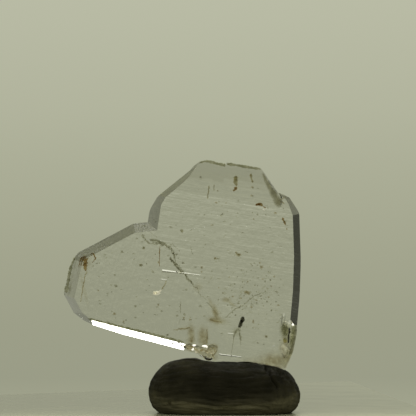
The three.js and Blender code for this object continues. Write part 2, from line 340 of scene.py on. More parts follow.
def stain_material(name, thin, thick, scale=6.0):
    """A film that colours the light which passes it, in patches from thin to thick. The core of a
    mark, from 0 to 1, is how much of the stain each of its points has."""
    mat, n = material(name)
    patch = n.noise(in_millimetres(n), scale, 5.0)
    core = n.add("ShaderNodeAttribute", attribute_name="core").outputs["Fac"]
    tint = n.ramp(patch, [(0.35, thin), (0.65, thick)])
    shader = n.add(
        "ShaderNodeBsdfPrincipled",
        {
            "Base Color": n.mix(core, (1, 1, 1), tint),
            "Roughness": 0.0,
            "IOR": 1.0,
            "Transmission Weight": 1.0,
        },
    )
    n.add("ShaderNodeOutputMaterial", {"Surface": shader.outputs[0]})
    return mat


def crack_material():
    """An air-filled crack inside the quartz; its faces look inward, so it bends light as air does."""
    mat, n = material("crack")
    patch = n.noise(in_millimetres(n), 9.0, 3.0)
    shader = n.add(
        "ShaderNodeBsdfPrincipled",
        {
            "Base Color": (1, 1, 1, 1),
            "Roughness": n.ramp(patch, [(0.4, 0.05), (0.7, 0.3)]),
            "IOR": QUARTZ_IOR,
            "Transmission Weight": 1.0,
        },
    )
    n.add("ShaderNodeOutputMaterial", {"Surface": shader.outputs[0]})
    return mat


def backlit_glowing_material(name, dark, light, glow):
    """A pale, cloudy grain that scatters the light behind it, and glows a little with painted light,
    though it is no lamp.
    """
    mat, n = material(name)
    patch = n.noise(in_millimetres(n), 6.0, 4.0)
    tint = n.ramp(patch, [(0.35, dark), (0.65, light)])
    through = n.add("ShaderNodeBsdfTranslucent", {"Color": tint})
    # Painted light: the emission makes the grain glow.
    painted_glow = n.add("ShaderNodeEmission", {"Color": tint, "Strength": glow})
    both = n.add("ShaderNodeAddShader", {0: through.outputs[0], 1: painted_glow.outputs[0]})
    n.add("ShaderNodeOutputMaterial", {"Surface": both.outputs[0]})
    return mat


RUST = stain_material("rust", (0.62, 0.48, 0.26), (0.27, 0.16, 0.055))
TAN = stain_material("tan", (0.88, 0.84, 0.71), (0.56, 0.49, 0.33), 2.6)
UMBER = stain_material("umber", (0.80, 0.77, 0.60), (0.44, 0.40, 0.25), 3.4)
SHADE = stain_material("shade", (0.88, 0.88, 0.83), (0.56, 0.55, 0.47), 5.0)
# Painted shade for the dark facet in the hollow at the top right
TONGUE = stain_material("tongue", (0.62, 0.61, 0.50), (0.44, 0.42, 0.31), 1.6)
BROWN = stain_material("brown", (0.76, 0.68, 0.48), (0.40, 0.33, 0.19))
SPECK = stain_material("speck", (0.74, 0.73, 0.60), (0.36, 0.35, 0.26), 5.0)
HAZE = stain_material("haze", (0.98, 0.98, 0.95), (0.74, 0.73, 0.65), 4.0)
OCHRE = stain_material("ochre", (0.80, 0.70, 0.25), (0.46, 0.42, 0.14))
OLIVE = stain_material("olive", (0.78, 0.77, 0.64), (0.38, 0.38, 0.25), 3.0)
# The milky grain, which glows a little with painted light
CREAM = backlit_glowing_material("cream", (0.74, 0.72, 0.60), (0.98, 0.96, 0.82), 0.24)
# Painted glints: pale flakes that glow brightly, though they are no lamp
GLINT = backlit_glowing_material("glint", (0.90, 0.89, 0.80), (1.0, 0.99, 0.93), 0.75)
DARK = stain_material("dark", (0.10, 0.095, 0.055), (0.03, 0.03, 0.02))
CRACK = crack_material()

# How small marks are made
MARK_DEPTHS = (-0.45, 0.35)  # a flake with no depth of its own lies between these, in millimetres
ROD_STEP = 1.2  # from one ring of a rod to the next, in pixels
ROD_UNEVEN = (0.6, 1.4)  # each ring's share of the rod's width
ROD_END = 0.3  # the share that is left at both ends
SLAT_THICKNESS = 0.006
SLAT_DEPTH = -0.1


class Bits:
    """Small closed flakes, rods and slats, gathered into one mesh that lies in the plate."""

    def __init__(self, seed):
        self.rng = random.Random(seed)
        self.points = []
        self.faces = []
        self.cores = []

    def flake(
        self, px, py, wide, high, turn=0.0, ragged=0.35, rim=0.6,
        depth=None, lean=0.3, sides=11, thick=0.012,
    ):
        """A flat flake with a ragged outline; wide and high are in pixels, and rim is its edge's core."""
        rng = self.rng
        if depth is None:
            depth = rng.uniform(*MARK_DEPTHS)
        middle = spot(px, py, depth)
        first = len(self.points)
        turn = math.radians(turn)
        lean_across = rng.uniform(-lean, lean)
        lean_up = rng.uniform(-lean, lean)
        for k in range(sides):
            angle = 2 * math.pi * k / sides
            reach = 1 + rng.uniform(-ragged, ragged)
            x = reach * wide * HALF_PIXEL * math.cos(angle)
            z = reach * high * HALF_PIXEL * math.sin(angle)
            x, z = x * math.cos(turn) - z * math.sin(turn), x * math.sin(turn) + z * math.cos(turn)
            self.points.append(middle + Vector((x, x * lean_across + z * lean_up, z)))
        self.points.append(middle + Vector((0, -thick, 0)))
        self.points.append(middle + Vector((0, thick, 0)))
        for k in range(sides):
            a = first + k
            b = first + (k + 1) % sides
            self.faces.append((a, b, first + sides))
            self.faces.append((b, a, first + sides + 1))
        self.cores += [rim] * sides + [1.0, 1.0]

    def rod(self, route, widths, depth=-0.2, wobble=0.0, sides=5, flat=0.5):
        """A thread along a route in pixels of the view; widths are at its two ends, in pixels."""
        rng = self.rng
        route = [Vector((x, 0, y)) for x, y in route]
        steps = []
        for a, b in zip(route, route[1:]):
            count = max(1, round((b - a).length / ROD_STEP))
            steps += [a.lerp(b, k / count) for k in range(count)]
        steps.append(route[-1])
        rings = len(steps)
        first = len(self.points)
        for k, step in enumerate(steps):
            share = k / max(1, rings - 1)
            half = HALF_PIXEL * (widths[0] * (1 - share) + widths[1] * share) * rng.uniform(*ROD_UNEVEN)
            if k in (0, rings - 1):
                half *= ROD_END
            sway = Vector([rng.uniform(-1, 1) for _ in range(3)]) * wobble * PIXEL
            middle = spot(step.x, step.z, depth) + sway
            ahead = steps[min(k + 1, rings - 1)] - steps[max(k - 1, 0)]
            across = Vector((ahead.z, 0, ahead.x)).normalized()
            for s in range(sides):
                angle = 2 * math.pi * s / sides
                behind = Vector((0, half * flat * math.sin(angle), 0))
                self.points.append(middle + across * half * math.cos(angle) + behind)
        for k in range(rings - 1):
            for s in range(sides):
                a = first + k * sides + s
                b = first + k * sides + (s + 1) % sides
                self.faces.append((a, b, b + sides, a + sides))
        last = first + (rings - 1) * sides
        self.faces.append(tuple(first + s for s in range(sides))[::-1])
        self.faces.append(tuple(last + s for s in range(sides)))
        self.cores += [1.0] * (rings * sides)

    def draw(self, rows):
        """Rods and flakes from a table; a rod's row starts with its route, a flake's with its place."""
        for row in rows:
            if isinstance(row[0], list):
                self.rod(*row)
            else:
                self.flake(*row)

    def slat(self, px, py, wide, tilt, deep, turn):
        """A thin flat crack, nearly edge-on, that throws the light of the sky above to the viewer."""
        half = wide * HALF_PIXEL
        rise = math.radians(tilt)
        turn = math.radians(turn)
        along = Vector((math.cos(turn), 0, -math.sin(turn)))
        back = Vector((0, math.cos(rise), math.sin(rise)))
        up = along.cross(back)
        middle = spot(px, py, SLAT_DEPTH)
        first = len(self.points)
        for x in (-half, half):
            for y in (-deep / 2, deep / 2):
                for z in (-SLAT_THICKNESS / 2, SLAT_THICKNESS / 2):
                    self.points.append(middle + along * x + back * y + up * z)
        box = ((0, 1, 3, 2), (4, 6, 7, 5), (0, 4, 5, 1), (2, 3, 7, 6), (0, 2, 6, 4), (1, 5, 7, 3))
        self.faces += [tuple(first + k for k in face) for face in box]
        self.cores += [1.0] * 8

    def piece(self, name, mat, inward=False):
        """The finished piece; inward turns its faces round, for a gap in the quartz."""
        mesh = mesh_from(name, self.points, self.faces)
        bm = bmesh.new()
        bm.from_mesh(mesh)
        bmesh.ops.recalc_face_normals(bm, faces=bm.faces)
        if inward:
            bmesh.ops.reverse_faces(bm, faces=bm.faces)
        bm.to_mesh(mesh)
        bm.free()
        mesh.materials.append(mat)
        mesh.attributes.new("core", "FLOAT", "POINT").data.foreach_set("value", self.cores)
        obj = add(name, mesh)
        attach(obj, "root")


# Outlines of the small crystals in the foot
LUMP_LINES = [
    [(202.6, 353.6), (204.6, 358.4), (208.4, 359.8), (212, 357.6), (213.2, 352.8)],
    [(207, 346.6), (211.6, 344.6), (217, 346), (216.6, 351), (213, 355.6), (214, 359)],
    [(211, 347.4), (214.6, 348.4), (214, 352)],
    [(199.4, 351), (203.6, 348.6), (207.6, 351.4)],
    [(190, 346), (193.6, 347), (197.6, 349.6), (200.6, 353.6)],
    [(186.4, 343.4), (188, 347.6), (191.6, 351)],
]
# Brown spots: place, width and height in pixels of the view
IRON_SPOTS = [
    (250.6, 175.4, 3.0, 3.4), (252.8, 181.6, 2.0, 2.2), (252.0, 188.2, 2.6, 1.8), (251.6, 196, 2.2, 2.0),
    (216.2, 202.8, 3.0, 2.2), (217.5, 191, 2.0, 1.8), (275.6, 213, 3.4, 2.2), (253.6, 219, 1.6, 1.8),
    (201.7, 267.2, 2.8, 3.0), (201.7, 271.8, 1.8, 1.8), (158.6, 262.2, 2.6, 2.4), (215, 258.3, 2.6, 2.2),
    (238.3, 254.5, 5.0, 2.8), (236, 252.6, 2.6, 2.0), (114.6, 313.4, 3.6, 2.8), (123.6, 321, 2.2, 1.8),
    (98.5, 290.4, 2.0, 2.0), (246.4, 292, 5.8, 3.6), (249, 294, 2.8, 2.0), (278.4, 305, 3.0, 2.0),
    (251.4, 307, 3.2, 1.8), (261.4, 267, 3.6, 3.2), (259.6, 263, 2.0, 2.2), (274, 276.4, 2.2, 2.0),
    (158.3, 305, 2.0, 1.8), (253.1, 321.4, 2.4, 4.4), (211.9, 225, 3.0, 1.4), (190, 319.4, 3.0, 2.0),
    (183.6, 317.6, 2.2, 1.6), (266, 336.2, 2.2, 3.0), (286.6, 229, 1.6, 2.4), (226, 203, 1.6, 1.4),
    (204.4, 345, 3.0, 2.0), (191.4, 341, 3.0, 2.6), (240.6, 298, 2.2, 1.6), (232.6, 296.4, 2.6, 1.6),
    (223, 293, 2.0, 1.8), (256.4, 300, 2.2, 1.6), (268.4, 297, 2.6, 1.8), (271, 286, 2.0, 1.8),
    (262.6, 279, 2.2, 1.6), (247.6, 281.6, 2.0, 1.6), (229.4, 277, 1.6, 1.6), (218.6, 287.6, 1.8, 1.6),
]


# The films, in millimetres and in pixels of the view
FAINTEST = 0.03  # a fainter stain is left out
EDGE_FADE = 0.12  # how far under the crystal's surface a film has faded in
HOLLOW_MOUTH = -0.42  # the depth where the hollow opens
FILM_HALF = 0.01  # half of a film's thickness
FILM_ACROSS = (60, 300)
FILM_DOWN = (160, 372)
SPOT_FALL = 0.7  # how fast a spot fades from its middle


def deep_inside(point):
    """How far a point lies under the crystal's surface, in millimetres; below zero outside."""
    where, normal = quartz.closest_point_on_mesh(point * MM)[1:3]
    away = where - point * MM
    side = 1 if away.dot(normal) > 0 else -1
    return away.length / MM * side


def stain(px, py, spots, depth, crisp, buried):
    """How strong a film is at each pixel."""
    stained = np.zeros(px.shape)
    for x, y, wide, high, turn, strength in spots:
        turn = math.radians(turn)
        dx = px - x
        dy = y - py
        u = (dx * math.cos(turn) + dy * math.sin(turn)) / wide
        v = (dy * math.cos(turn) - dx * math.sin(turn)) / high
        stained = np.maximum(stained, strength * np.exp(-((u * u + v * v) ** crisp) * SPOT_FALL))
    if buried:
        for i, j in np.argwhere(stained > FAINTEST):
            under = deep_inside(spot(px[i, j], py[i, j], depth))
            stained[i, j] *= min(1, max(0, under / EDGE_FADE))
    return np.where(stained < FAINTEST, 0, stained)


def film(name, mat, spots, depth, crisp=1.5, buried=True):
    """One thin sheet in the plate, stained where its soft spots are. Each spot is its place, its half
    width and half height in pixels of the view, its turn and its strength."""
    across = np.arange(*FILM_ACROSS)
    down = np.arange(*FILM_DOWN)
    px, py = np.meshgrid(across, down, indexing="ij")
    stained = stain(px, py, spots, depth, crisp, buried)
    bits = Bits(0)
    corner = {}

    def point(i, j, side):
        if (i, j, side) not in corner:
            corner[i, j, side] = len(bits.points)
            bits.points.append(spot(px[i, j], py[i, j], depth + FILM_HALF * side))
            bits.cores.append(float(stained[i, j]))
        return corner[i, j, side]

    cells = {
        (i, j)
        for i in range(len(across) - 1)
        for j in range(len(down) - 1)
        if stained[i : i + 2, j : j + 2].max() > 0
    }
    for i, j in cells:
        ring = [(i, j), (i + 1, j), (i + 1, j + 1), (i, j + 1)]
        bits.faces.append([point(*c, -1) for c in ring])
        bits.faces.append([point(*c, 1) for c in ring][::-1])
        beyond = [(i, j - 1), (i + 1, j), (i, j + 1), (i - 1, j)]
        for k, cell in enumerate(beyond):
            if cell not in cells:
                a = ring[k]
                b = ring[(k + 1) % 4]
                bits.faces.append([point(*b, -1), point(*a, -1), point(*a, 1), point(*b, 1)])
    bits.piece(name, mat)


# The spots of each film
BROWN_SPOTS = [
    (191.4, 335, 3.0, 9.0, 3, 1.0), (190.8, 341, 4.0, 3.4, 0, 0.9), (202.8, 337, 4.4, 8.6, 2, 1.0),
    (204, 343.6, 2.0, 2.0, 0, 1.0), (206.6, 337, 1.1, 8.0, 0, 1.0), (188, 328, 8.0, 1.6, 4, 0.5),
    (215.6, 313, 2.6, 7.6, 15, 1.0), (216.8, 320.4, 8.0, 2.8, -10, 1.0), (217.6, 320, 4.2, 3.6, 0, 1.0),
    (226.4, 299.8, 3.6, 2.0, 0, 0.9), (231.6, 303.8, 4.4, 1.2, -36, 0.8), (211, 303.6, 1.6, 5.0, 24, 0.6),
    (191, 347, 6.0, 4.2, -16, 0.9),
    (200, 350.4, 6.0, 4.0, -16, 0.9), (209, 351, 6.6, 4.6, 0, 1.0), (214, 347, 3.4, 3.0, 0, 0.9),
    (208.6, 356.4, 4.4, 3.4, 0, 1.0), (213.6, 357, 3.4, 3.0, 0, 0.6), (86, 262, 4.6, 6.0, 0, 0.5),
    (84, 288, 1.4, 16, 14, 0.35), (272, 362, 14, 8.0, 8, 0.95), (260, 365, 22, 7.0, 4, 0.6),
    (286, 356, 6.0, 12, -18, 0.7), (240, 367, 24, 3.6, 2, 0.4), (283, 348, 3.6, 9, -8, 0.75),
    (198, 287, 4.0, 3.4, 30, 0.4), (287, 358, 2.0, 5.0, -20, 1.0), (283.6, 359, 1.2, 4.0, 0, 1.0),
]
OLIVE_SPOTS = [
    (284.6, 330, 3.4, 7.0, 8, 1.0), (290, 327, 2.4, 4.0, 0, 0.5), (286, 338, 2.0, 8.0, 6, 0.8),
    (292.6, 338, 3.6, 15, -6, 0.9), (290.6, 352, 2.8, 7.0, -18, 0.9), (235.6, 332, 2.8, 3.4, 0, 0.5),
    (72.4, 266, 3.0, 7.0, -22, 0.9), (69.8, 277, 3.0, 7.0, -8, 1.0), (68.6, 286, 3.2, 6.0, 8, 1.0),
]
FRACTURE_SPOTS = [
    (293.2, 338, 3.4, 16, -5, 1.0), (290.4, 354, 3.4, 9.0, -18, 1.0), (284.6, 331, 3.4, 7.0, 8, 0.9),
    (286, 361.6, 4.4, 6.0, -20, 0.9),
]
# Painted shade: a film that darkens the facet in the hollow at the top right evenly
TONGUE_SHADE_SPOTS = [
    (265.0, 178.6, 1.2, 5.6, 26, 1.0), (269.0, 186.2, 2.2, 6.6, 26, 1.0), (273.4, 194, 3.3, 6.8, 25, 1.0),
    (277.2, 201, 3.7, 6.4, 24, 1.0),
]

# The seam's threads: route and end widths in pixels, and how many lie one behind another
SEAM_THREADS = [
    ([(141.6, 234.5), (146, 240), (149.6, 243.4)], (1.8, 1.6), 2),
    (
        [
            (149.8, 239.6), (156, 240.8), (161, 242.8), (166, 244.6), (170.6, 248.6), (173.6, 253),
            (174.8, 257.6),
        ],
        (1.8, 1.5),
        3,
    ),
    ([(151, 242.6), (157, 243.8), (165, 245.6)], (1.4, 1.8), 2),
    (
        [(170.2, 257.6), (173.6, 263.4), (178.6, 268.4), (183.6, 273.6), (189, 279.6), (193, 284.6)],
        (1.9, 1.2),
        3,
    ),
    ([(172.4, 257), (177, 264), (182, 270), (187, 276.4)], (0.8, 0.8), 2),
    ([(192.4, 284.6), (197.6, 288.4), (200.4, 295.8), (206.4, 300)], (1.1, 0.5), 1),
]
THREAD_DEPTH = -0.4
THREAD_GAP = 0.3
THREAD_WOBBLE = 1.3
# In the tables of marks, a rod is its route and end widths in pixels, its depth in millimetres, its
# wobble, its sides and how flat it is. A flake is its place, width and height in pixels, its turn, how
# ragged it is, its edge's core, its depth, its lean, its sides and its thickness. What a row leaves
# out is as the rod and the flake have it.
SEAM_BRANCHES = [
    ([(150.2, 232.6), (153.6, 234.6), (157.3, 238)], (0.8, 0.6), -0.3, 0.5),
    ([(171.6, 243), (174.4, 246), (177.8, 249.4)], (0.7, 0.8), 0.0, 0.5),
    ([(190.5, 247), (192.8, 255)], (0.4, 0.8), 0.0, 0.5),
    ([(206.7, 301.7), (212.2, 308.3), (217.8, 315)], (0.8, 1.0), 0.0, 0.8),
    ([(244, 305), (237.4, 307.4), (230.6, 312.6), (225.2, 317.8)], (1.9, 1.0), -0.2, 0.5),
    ([(244, 305), (247.4, 301.4), (253, 296.6), (258.6, 294.3), (265.7, 291.4)], (1.5, 0.8), 0.1, 0.6),
    ([(180.6, 301), (180.2, 312.8)], (0.9, 0.8), -0.3, 0.3),
    ([(179.4, 319.5), (179, 324)], (0.7, 0.5), -0.3, 0.3),
    ([(208.7, 187.5), (208.2, 193), (207.5, 198.7)], (0.6, 0.5), -0.3, 0.4),
    ([(213.7, 185), (213.7, 191)], (0.4, 0.4), -0.3, 0.3),
    ([(264.4, 179), (264, 181), (265.4, 182.6)], (0.9, 0.6), -0.3, 0.3),
]
CHEVRON = [(264.5, 289.4), (266.3, 291.6), (264.8, 293.8)]
CHEVRONS = 4
CHEVRON_STEP = 2
# The long dark inclusion: its thin tails, and its body with the dark line at the right
TAIL_MARKS = [
    ([(239, 326), (239.4, 333), (241.0, 341)], (2.8, 1.6), 0.0, 0.3),
    ([(239.6, 333), (240.6, 340), (240.5, 347)], (1.2, 0.6), 0.1, 0.4),
    ([(238.6, 327), (235.6, 332), (233.8, 336), (231.5, 353)], (2.4, 0.6), 0.1, 0.4),
    (235.8, 331.4, 4.6, 5.0, 0, 0.3, 0.0),
    ([(289.6, 329), (289, 336), (287.4, 343.4)], (1.4, 1.0), 0.3, 0.4),
    ([(281.4, 314.3), (283, 321.4), (285.6, 330)], (0.8, 0.6), 0.2, 0.6),
]
INCLUSION_MARKS = [
    (242.4, 319.6, 4.4, 7.0, -21, 0.1, 0.9, -0.1, 0.3, 13, 0.1),
    (240.5, 323.6, 3.9, 8.6, -20, 0.1, 0.9, -0.1, 0.3, 13, 0.08),
    ([(289, 327.6), (288.4, 334), (287.3, 343)], (1.9, 1.4), -0.4, 0.2, 5, 0.3),
    ([(289, 327.6), (288.4, 334), (287.3, 343)], (1.9, 1.4), -0.3, 0.2, 5, 0.3),
]
# Brown iron marks in the clear quartz, from strong to faint
RUST_MARKS = [
    ([(255.4, 205.6), (257.8, 204.3), (260.6, 204.5), (262.8, 206.2)], (2.4, 2.4), -0.4, 0.15, 8, 0.5),
    (258.4, 204.6, 4.0, 2.2, 0, 0.2, 1, -0.35),
    ([(263, 206.6), (265.6, 208.4)], (1.6, 0.8), -0.4, 0.2),
    ([(232.6, 191.4), (234.6, 189.6), (236.6, 187.4)], (2.2, 3.6), -0.3, 0.4, 7, 0.4),
    ([(282, 218), (284, 221.6), (285.4, 225.4)], (2.4, 1.8), -0.3, 0.4, 5, 0.4),
    ([(159.8, 246), (159.6, 256), (159.4, 266.7)], (0.9, 0.7), -0.3, 0.2),
    ([(81.6, 256.6), (81, 262), (80.2, 268)], (2.2, 1.0), -0.2, 0.5, 5, 0.4),
    ([(84.5, 257), (86, 263), (85.6, 271)], (5.4, 3.0), -0.1, 0.8, 8, 0.3),
    ([(91, 256), (93.4, 254.4), (95.6, 257.6), (94.4, 261.6), (91.8, 262.4)], (1.4, 1.0), -0.2, 0.5),
]
RUST_FANS = [
    ([(209.6, 319.4), (215, 321), (222, 322.4)], (0.8, 1.4), -0.2, 0.5, 8, 0.2),
    ([(173, 329.6), (181, 329), (190.6, 327.4)], (0.8, 1.4), -0.2, 0.5, 5, 0.3),
    ([(279.6, 199), (281.6, 202), (284, 204.6)], (2.0, 1.2), -0.2, 0.4, 5, 0.3),
    ([(281, 199.6), (284, 198), (287, 199)], (1.0, 1.4), -0.3, 0.3, 5, 0.3),
]
OLIVE_MARKS = [
    ([(235.8, 176), (235.4, 181), (236, 186.4)], (4.4, 2.6), -0.2, 0.4, 8, 0.2),
    (235.6, 179.6, 4.4, 7.6, 0, 0.3, 0.2),
    ([(250.8, 173.6), (250.8, 177.6), (252.6, 183)], (3.4, 1.4), -0.2, 0.4, 5, 0.3),
    ([(209, 186), (208.6, 192), (207.4, 198.6)], (1.2, 1.0), -0.2, 0.3),
    ([(214, 184.6), (213.8, 191)], (0.9, 0.7), -0.2, 0.3),
    (237.6, 254, 5.6, 4.0, -30, 0.3, 0.2), (239.6, 255, 3.4, 2.6, 0, 0.3, 0.4),
    (182, 231, 3.4, 4.4, 0, 0.3, 0.2), (247, 292.4, 8, 5.4, 0, 0.3, 0.1),
    (215.4, 258.6, 3.4, 3.0, 0, 0.3, 0.2), (143.6, 248, 3.4, 3.4, 0, 0.3, 0.2),
    (140.8, 265, 3.4, 3.0, 0, 0.3, 0.2),
]
# Dark lines along the edges: the first, just above the bright lower side of the left crystal, is painted
# shade; the others are dirt and small breaks
EDGE_SHADE_AND_DIRT = [
    ([(88.6, 318.4), (120, 326.2), (150, 333.4), (184, 342)], (2.4, 2.6), -0.6, 0.15, 5, 0.2),
    (
        [(199.5, 163.0), (203, 161.4), (208, 161.2), (214.8, 162.8), (221, 164.4), (225.6, 165.2)],
        (2.4, 3.2), 0.6, 0.2, 7, 0.2,
    ),
    ([(226.8, 163.7), (238, 165.5), (250, 167.4), (261, 169.2)], (3.0, 3.0), 0.6, 0.2, 7, 0.2),
    (
        [(75.5, 257.5), (71.6, 266), (69.4, 275), (68.6, 282), (67.2, 288), (66.6, 293)],
        (3.0, 5.0), 0.35, 0.4, 7, 0.2,
    ),
    ([(280, 195.6), (284, 197.2), (288, 199.4)], (1.6, 1.6), 0.3, 0.3, 7, 0.3),
]
# Dull marks on the bright lower side of the left crystal: place, width, height and turn
BAND_SPOTS = [
    (110.2, 325.2, 3.6, 0.9, -15), (119, 328.8, 2.2, 0.8, 30), (140, 334.4, 1.6, 0.7, -10),
    (172.8, 343.2, 4.6, 1.4, -12), (178.6, 342.4, 2.4, 1.6, 0), (181.4, 345.2, 2.2, 2.2, 0),
    (184.4, 346.6, 2.4, 3.4, 20), (176.4, 346, 3.6, 1.0, -14),
]
BAND_DEPTH = -0.6
# Thin brown lines in the foot and round the left tip
BROWN_LINES = [
    ([(87, 271), (85.8, 274.4), (83, 287.6), (80.7, 302)], (1.2, 0.8), -0.2, 0.4),
    ([(166.8, 280.8), (164.4, 285), (162, 289.6)], (1.0, 1.2), -0.2, 0.4),
    ([(206.8, 329), (207.2, 337), (206.6, 344)], (0.8, 1.0), -0.2, 0.3),
]
# The larger specks: place and size
SPECK_SPOTS = [
    (143.9, 247.8, 2.2), (183.3, 262.8, 2.4), (122.3, 252, 2.4), (141, 265.4, 2.8), (135.7, 306, 2.2),
    (116, 286, 2.6), (177.2, 315.6, 2.2), (184.2, 314.6, 2.4), (266.4, 336.4, 2.2), (253, 188, 1.6),
    (181.9, 231, 2.6), (191, 230, 1.2), (265.6, 291, 1.4), (99, 277, 1.2), (115, 275, 1.6),
]
# Boxes that hold the scattered marks: left, right, top and bottom
SWARM_BOX = (205, 284, 240, 345)
GREY_BOX = (200, 284, 235, 350)
LOOSE_BOX = (92, 286, 190, 335)
FAINT_BOX = (92, 288, 172, 350)
SWARM_MIDDLE = (252, 290)
GREY_MIDDLE = (245, 290)
LEFT_TIP = (92, 250)  # where the inner part of the left crystal starts
SEAM_ACROSS = 165  # about where the left crystal ends
# Cracks, and shallow steps beside the seam: place and width
CRACK_SPOTS = [(285.4, 322, 2.2), (273.1, 345.8, 1.6), (263.4, 209.6, 2.0)]
STEP_SPOTS = [(190, 229.6, 2), (195, 228.6, 3.4), (200, 227.8, 2.6), (204.6, 227.2, 3), (198, 231.4, 2.6)]
# Pale grain behind each crystal, which glows a little with painted light, and bright painted glints that
# glow: place, width, height and turn
LEFT_GRAIN = [
    (156.6, 293.2, 7.4, 4.6, -6), (154.8, 293.4, 4.4, 3.4, 0), (160, 291.2, 3.0, 1.8, 40),
    (196.4, 352.2, 3.2, 1.4, -20), (207.6, 352.6, 3.0, 1.2, 0), (188.4, 345.4, 2.4, 2.0, 0),
]
RIGHT_GRAIN = [
    (285.4, 322.0, 3.4, 1.3, 0), (283.4, 320.2, 1.4, 1.0, 0), (284.6, 324.4, 1.8, 1.0, 0),
    (263.6, 209.8, 3.0, 1.2, -20),
]
GLINT_SPOTS = [
    (193.8, 345.1, 5.6, 1.9, 5), (193.0, 348.6, 3.4, 2.6, 20), (204.4, 346.5, 6.2, 1.9, -2),
    (292.5, 324.3, 2.2, 3.0, 30),
]
GLINT_DEPTH = -0.25
PALE_THICKNESS = 0.004
OCHRE_MARKS = [(284.3, 340.4, 3.2, 6.0, 8, 0.25, 0.5)]


def marks(name, mat, seed, rows):
    """One piece from a table of rods and flakes."""
    bits = Bits(seed)
    bits.draw(rows)
    bits.piece(name, mat)


def seam():
    """The uneven seam where the two crystals meet."""
    bits = Bits(1)
    for route, widths, count in SEAM_THREADS:
        for k in range(count):
            bits.rod(route, widths, THREAD_DEPTH + THREAD_GAP * k, THREAD_WOBBLE)
    bits.draw(SEAM_BRANCHES)
    for k in range(CHEVRONS):
        route = [(x + CHEVRON_STEP * k, y) for x, y in CHEVRON]
        bits.rod(route, (0.3, 0.3), -0.2, 0.2)
    bits.piece("seam", SHADE)


def band_marks():
    """Small dull marks on the bright lower side of the left crystal."""
    bits = Bits(22)
    for row in BAND_SPOTS:
        bits.flake(*row, depth=BAND_DEPTH, rim=0.92, lean=0)
    bits.piece("band_marks", DARK)


def brown_specks():
    """Brown spots of iron."""
    bits = Bits(19)
    for row in IRON_SPOTS:
        bits.flake(*row, rim=0.4)
    bits.piece("brown_specks", BROWN)


def within(px, py, box):
    """Whether a pixel lies in a box."""
    left, right, top, bottom = box
    return left < px < right and top < py < bottom


def swarm(bits):
    """Dark specks, thickest at the lower right."""
    rng = bits.rng
    for _ in range(90):
        along = rng.gauss(0, 1)
        px = SWARM_MIDDLE[0] + 17 * along + rng.gauss(0, 6)
        py = SWARM_MIDDLE[1] + 9 * abs(along) + rng.gauss(0, 14)
        if within(px, py, SWARM_BOX):
            size = rng.uniform(0.7, 2.0)
            bits.flake(px, py, size, size * rng.uniform(0.5, 1.1), rng.uniform(0, 180), sides=7)


def loose_specks(bits):
    """Dark specks all over the inner part of both crystals."""
    rng = bits.rng
    left, right, top, bottom = LOOSE_BOX
    for _ in range(70):
        px = rng.uniform(left, right)
        py = rng.uniform(top, bottom)
        under_edge = (px - LEFT_TIP[0]) * 0.92 > LEFT_TIP[1] - py
        over_foot = py < 262 + (px - 70) * 0.27 + 45
        if under_edge and over_foot and (px > 160 or py > LEFT_TIP[1]):
            size = rng.uniform(0.6, 1.8)
            bits.flake(px, py, size, size * rng.uniform(0.5, 1.0), rng.uniform(0, 180), sides=7)


def faint_specks(bits):
    """Faint grey smears, which fade to nothing at their edges."""
    rng = bits.rng
    left, right, top, bottom = FAINT_BOX
    for _ in range(170):
        px = rng.uniform(left, right)
        py = rng.uniform(top, bottom)
        from_tip = px - LEFT_TIP[0]
        in_left = px < SEAM_ACROSS and LEFT_TIP[1] - from_tip * 0.5 < py < 318 + from_tip * 0.26
        over_foot = px > SEAM_ACROSS and py < 338 + (px - SEAM_ACROSS) * 0.1
        if in_left or over_foot and (py > 200 or 200 < px < 262):
            size = rng.uniform(1.6, 4.4)
            bits.flake(px, py, size, size * rng.uniform(0.3, 0.8), rng.uniform(-20, 20), sides=9, rim=0)


def specks():
    """All loose specks; only the larger ones have places of their own."""
    bits = Bits(4)
    swarm(bits)
    loose_specks(bits)
    faint_specks(bits)
    for px, py, size in SPECK_SPOTS:
        bits.flake(px, py, 1.3 * size, 1.1 * size, rim=0.5)
    bits.piece("specks", SPECK)


def brown_lines():
    """Thin brown lines, and the outlines of the small crystals in the foot."""
    bits = Bits(5)
    bits.draw(BROWN_LINES)
    for route in LUMP_LINES:
        bits.rod(route, (1.2, 1.0), -0.3, 0.2)
    bits.piece("brown_lines", TAN)


def grey_films():
    """Hazy grey films round the swarm."""
    bits = Bits(6)
    rng = bits.rng
    for _ in range(90):
        px = rng.gauss(GREY_MIDDLE[0], 24)
        py = rng.gauss(GREY_MIDDLE[1], 26)
        if within(px, py, GREY_BOX):
            bits.flake(px, py, rng.uniform(2, 7), rng.uniform(1, 3), rng.uniform(-30, 60), rim=0.1)
    bits.piece("grey_films", HAZE)


def cracks():
    """Cracks and steps that catch the light."""
    bits = Bits(7)
    rng = bits.rng
    for px, py, wide in CRACK_SPOTS:
        bits.slat(px, py, wide, rng.uniform(11, 14), rng.uniform(0.1, 0.2), rng.uniform(-8, 8))
    for px, py, wide in STEP_SPOTS:
        bits.slat(px, py, wide, rng.uniform(10, 14), 0.018, rng.uniform(-2, 8))
    bits.piece("cracks", CRACK, inward=True)


def pale_flakes(bits, rows, depth):
    """Thin level flakes from a table."""
    for row in rows:
        bits.flake(*row, ragged=0.2, depth=depth, thick=PALE_THICKNESS, lean=0)


def cream_grain():
    """The milky grain in the left crystal, and a few pale breaks, which all glow a little with painted
    light.
    """
    bits = Bits(11)
    pale_flakes(bits, LEFT_GRAIN, LEFT_BACK)
    pale_flakes(bits, RIGHT_GRAIN, RIGHT_BACK)
    bits.piece("cream_grain", CREAM)


def painted_glints():
    """Painted glints in the foot and by the fracture: pale flakes that glow."""
    bits = Bits(18)
    pale_flakes(bits, GLINT_SPOTS, GLINT_DEPTH)
    bits.piece("painted_glints", GLINT)


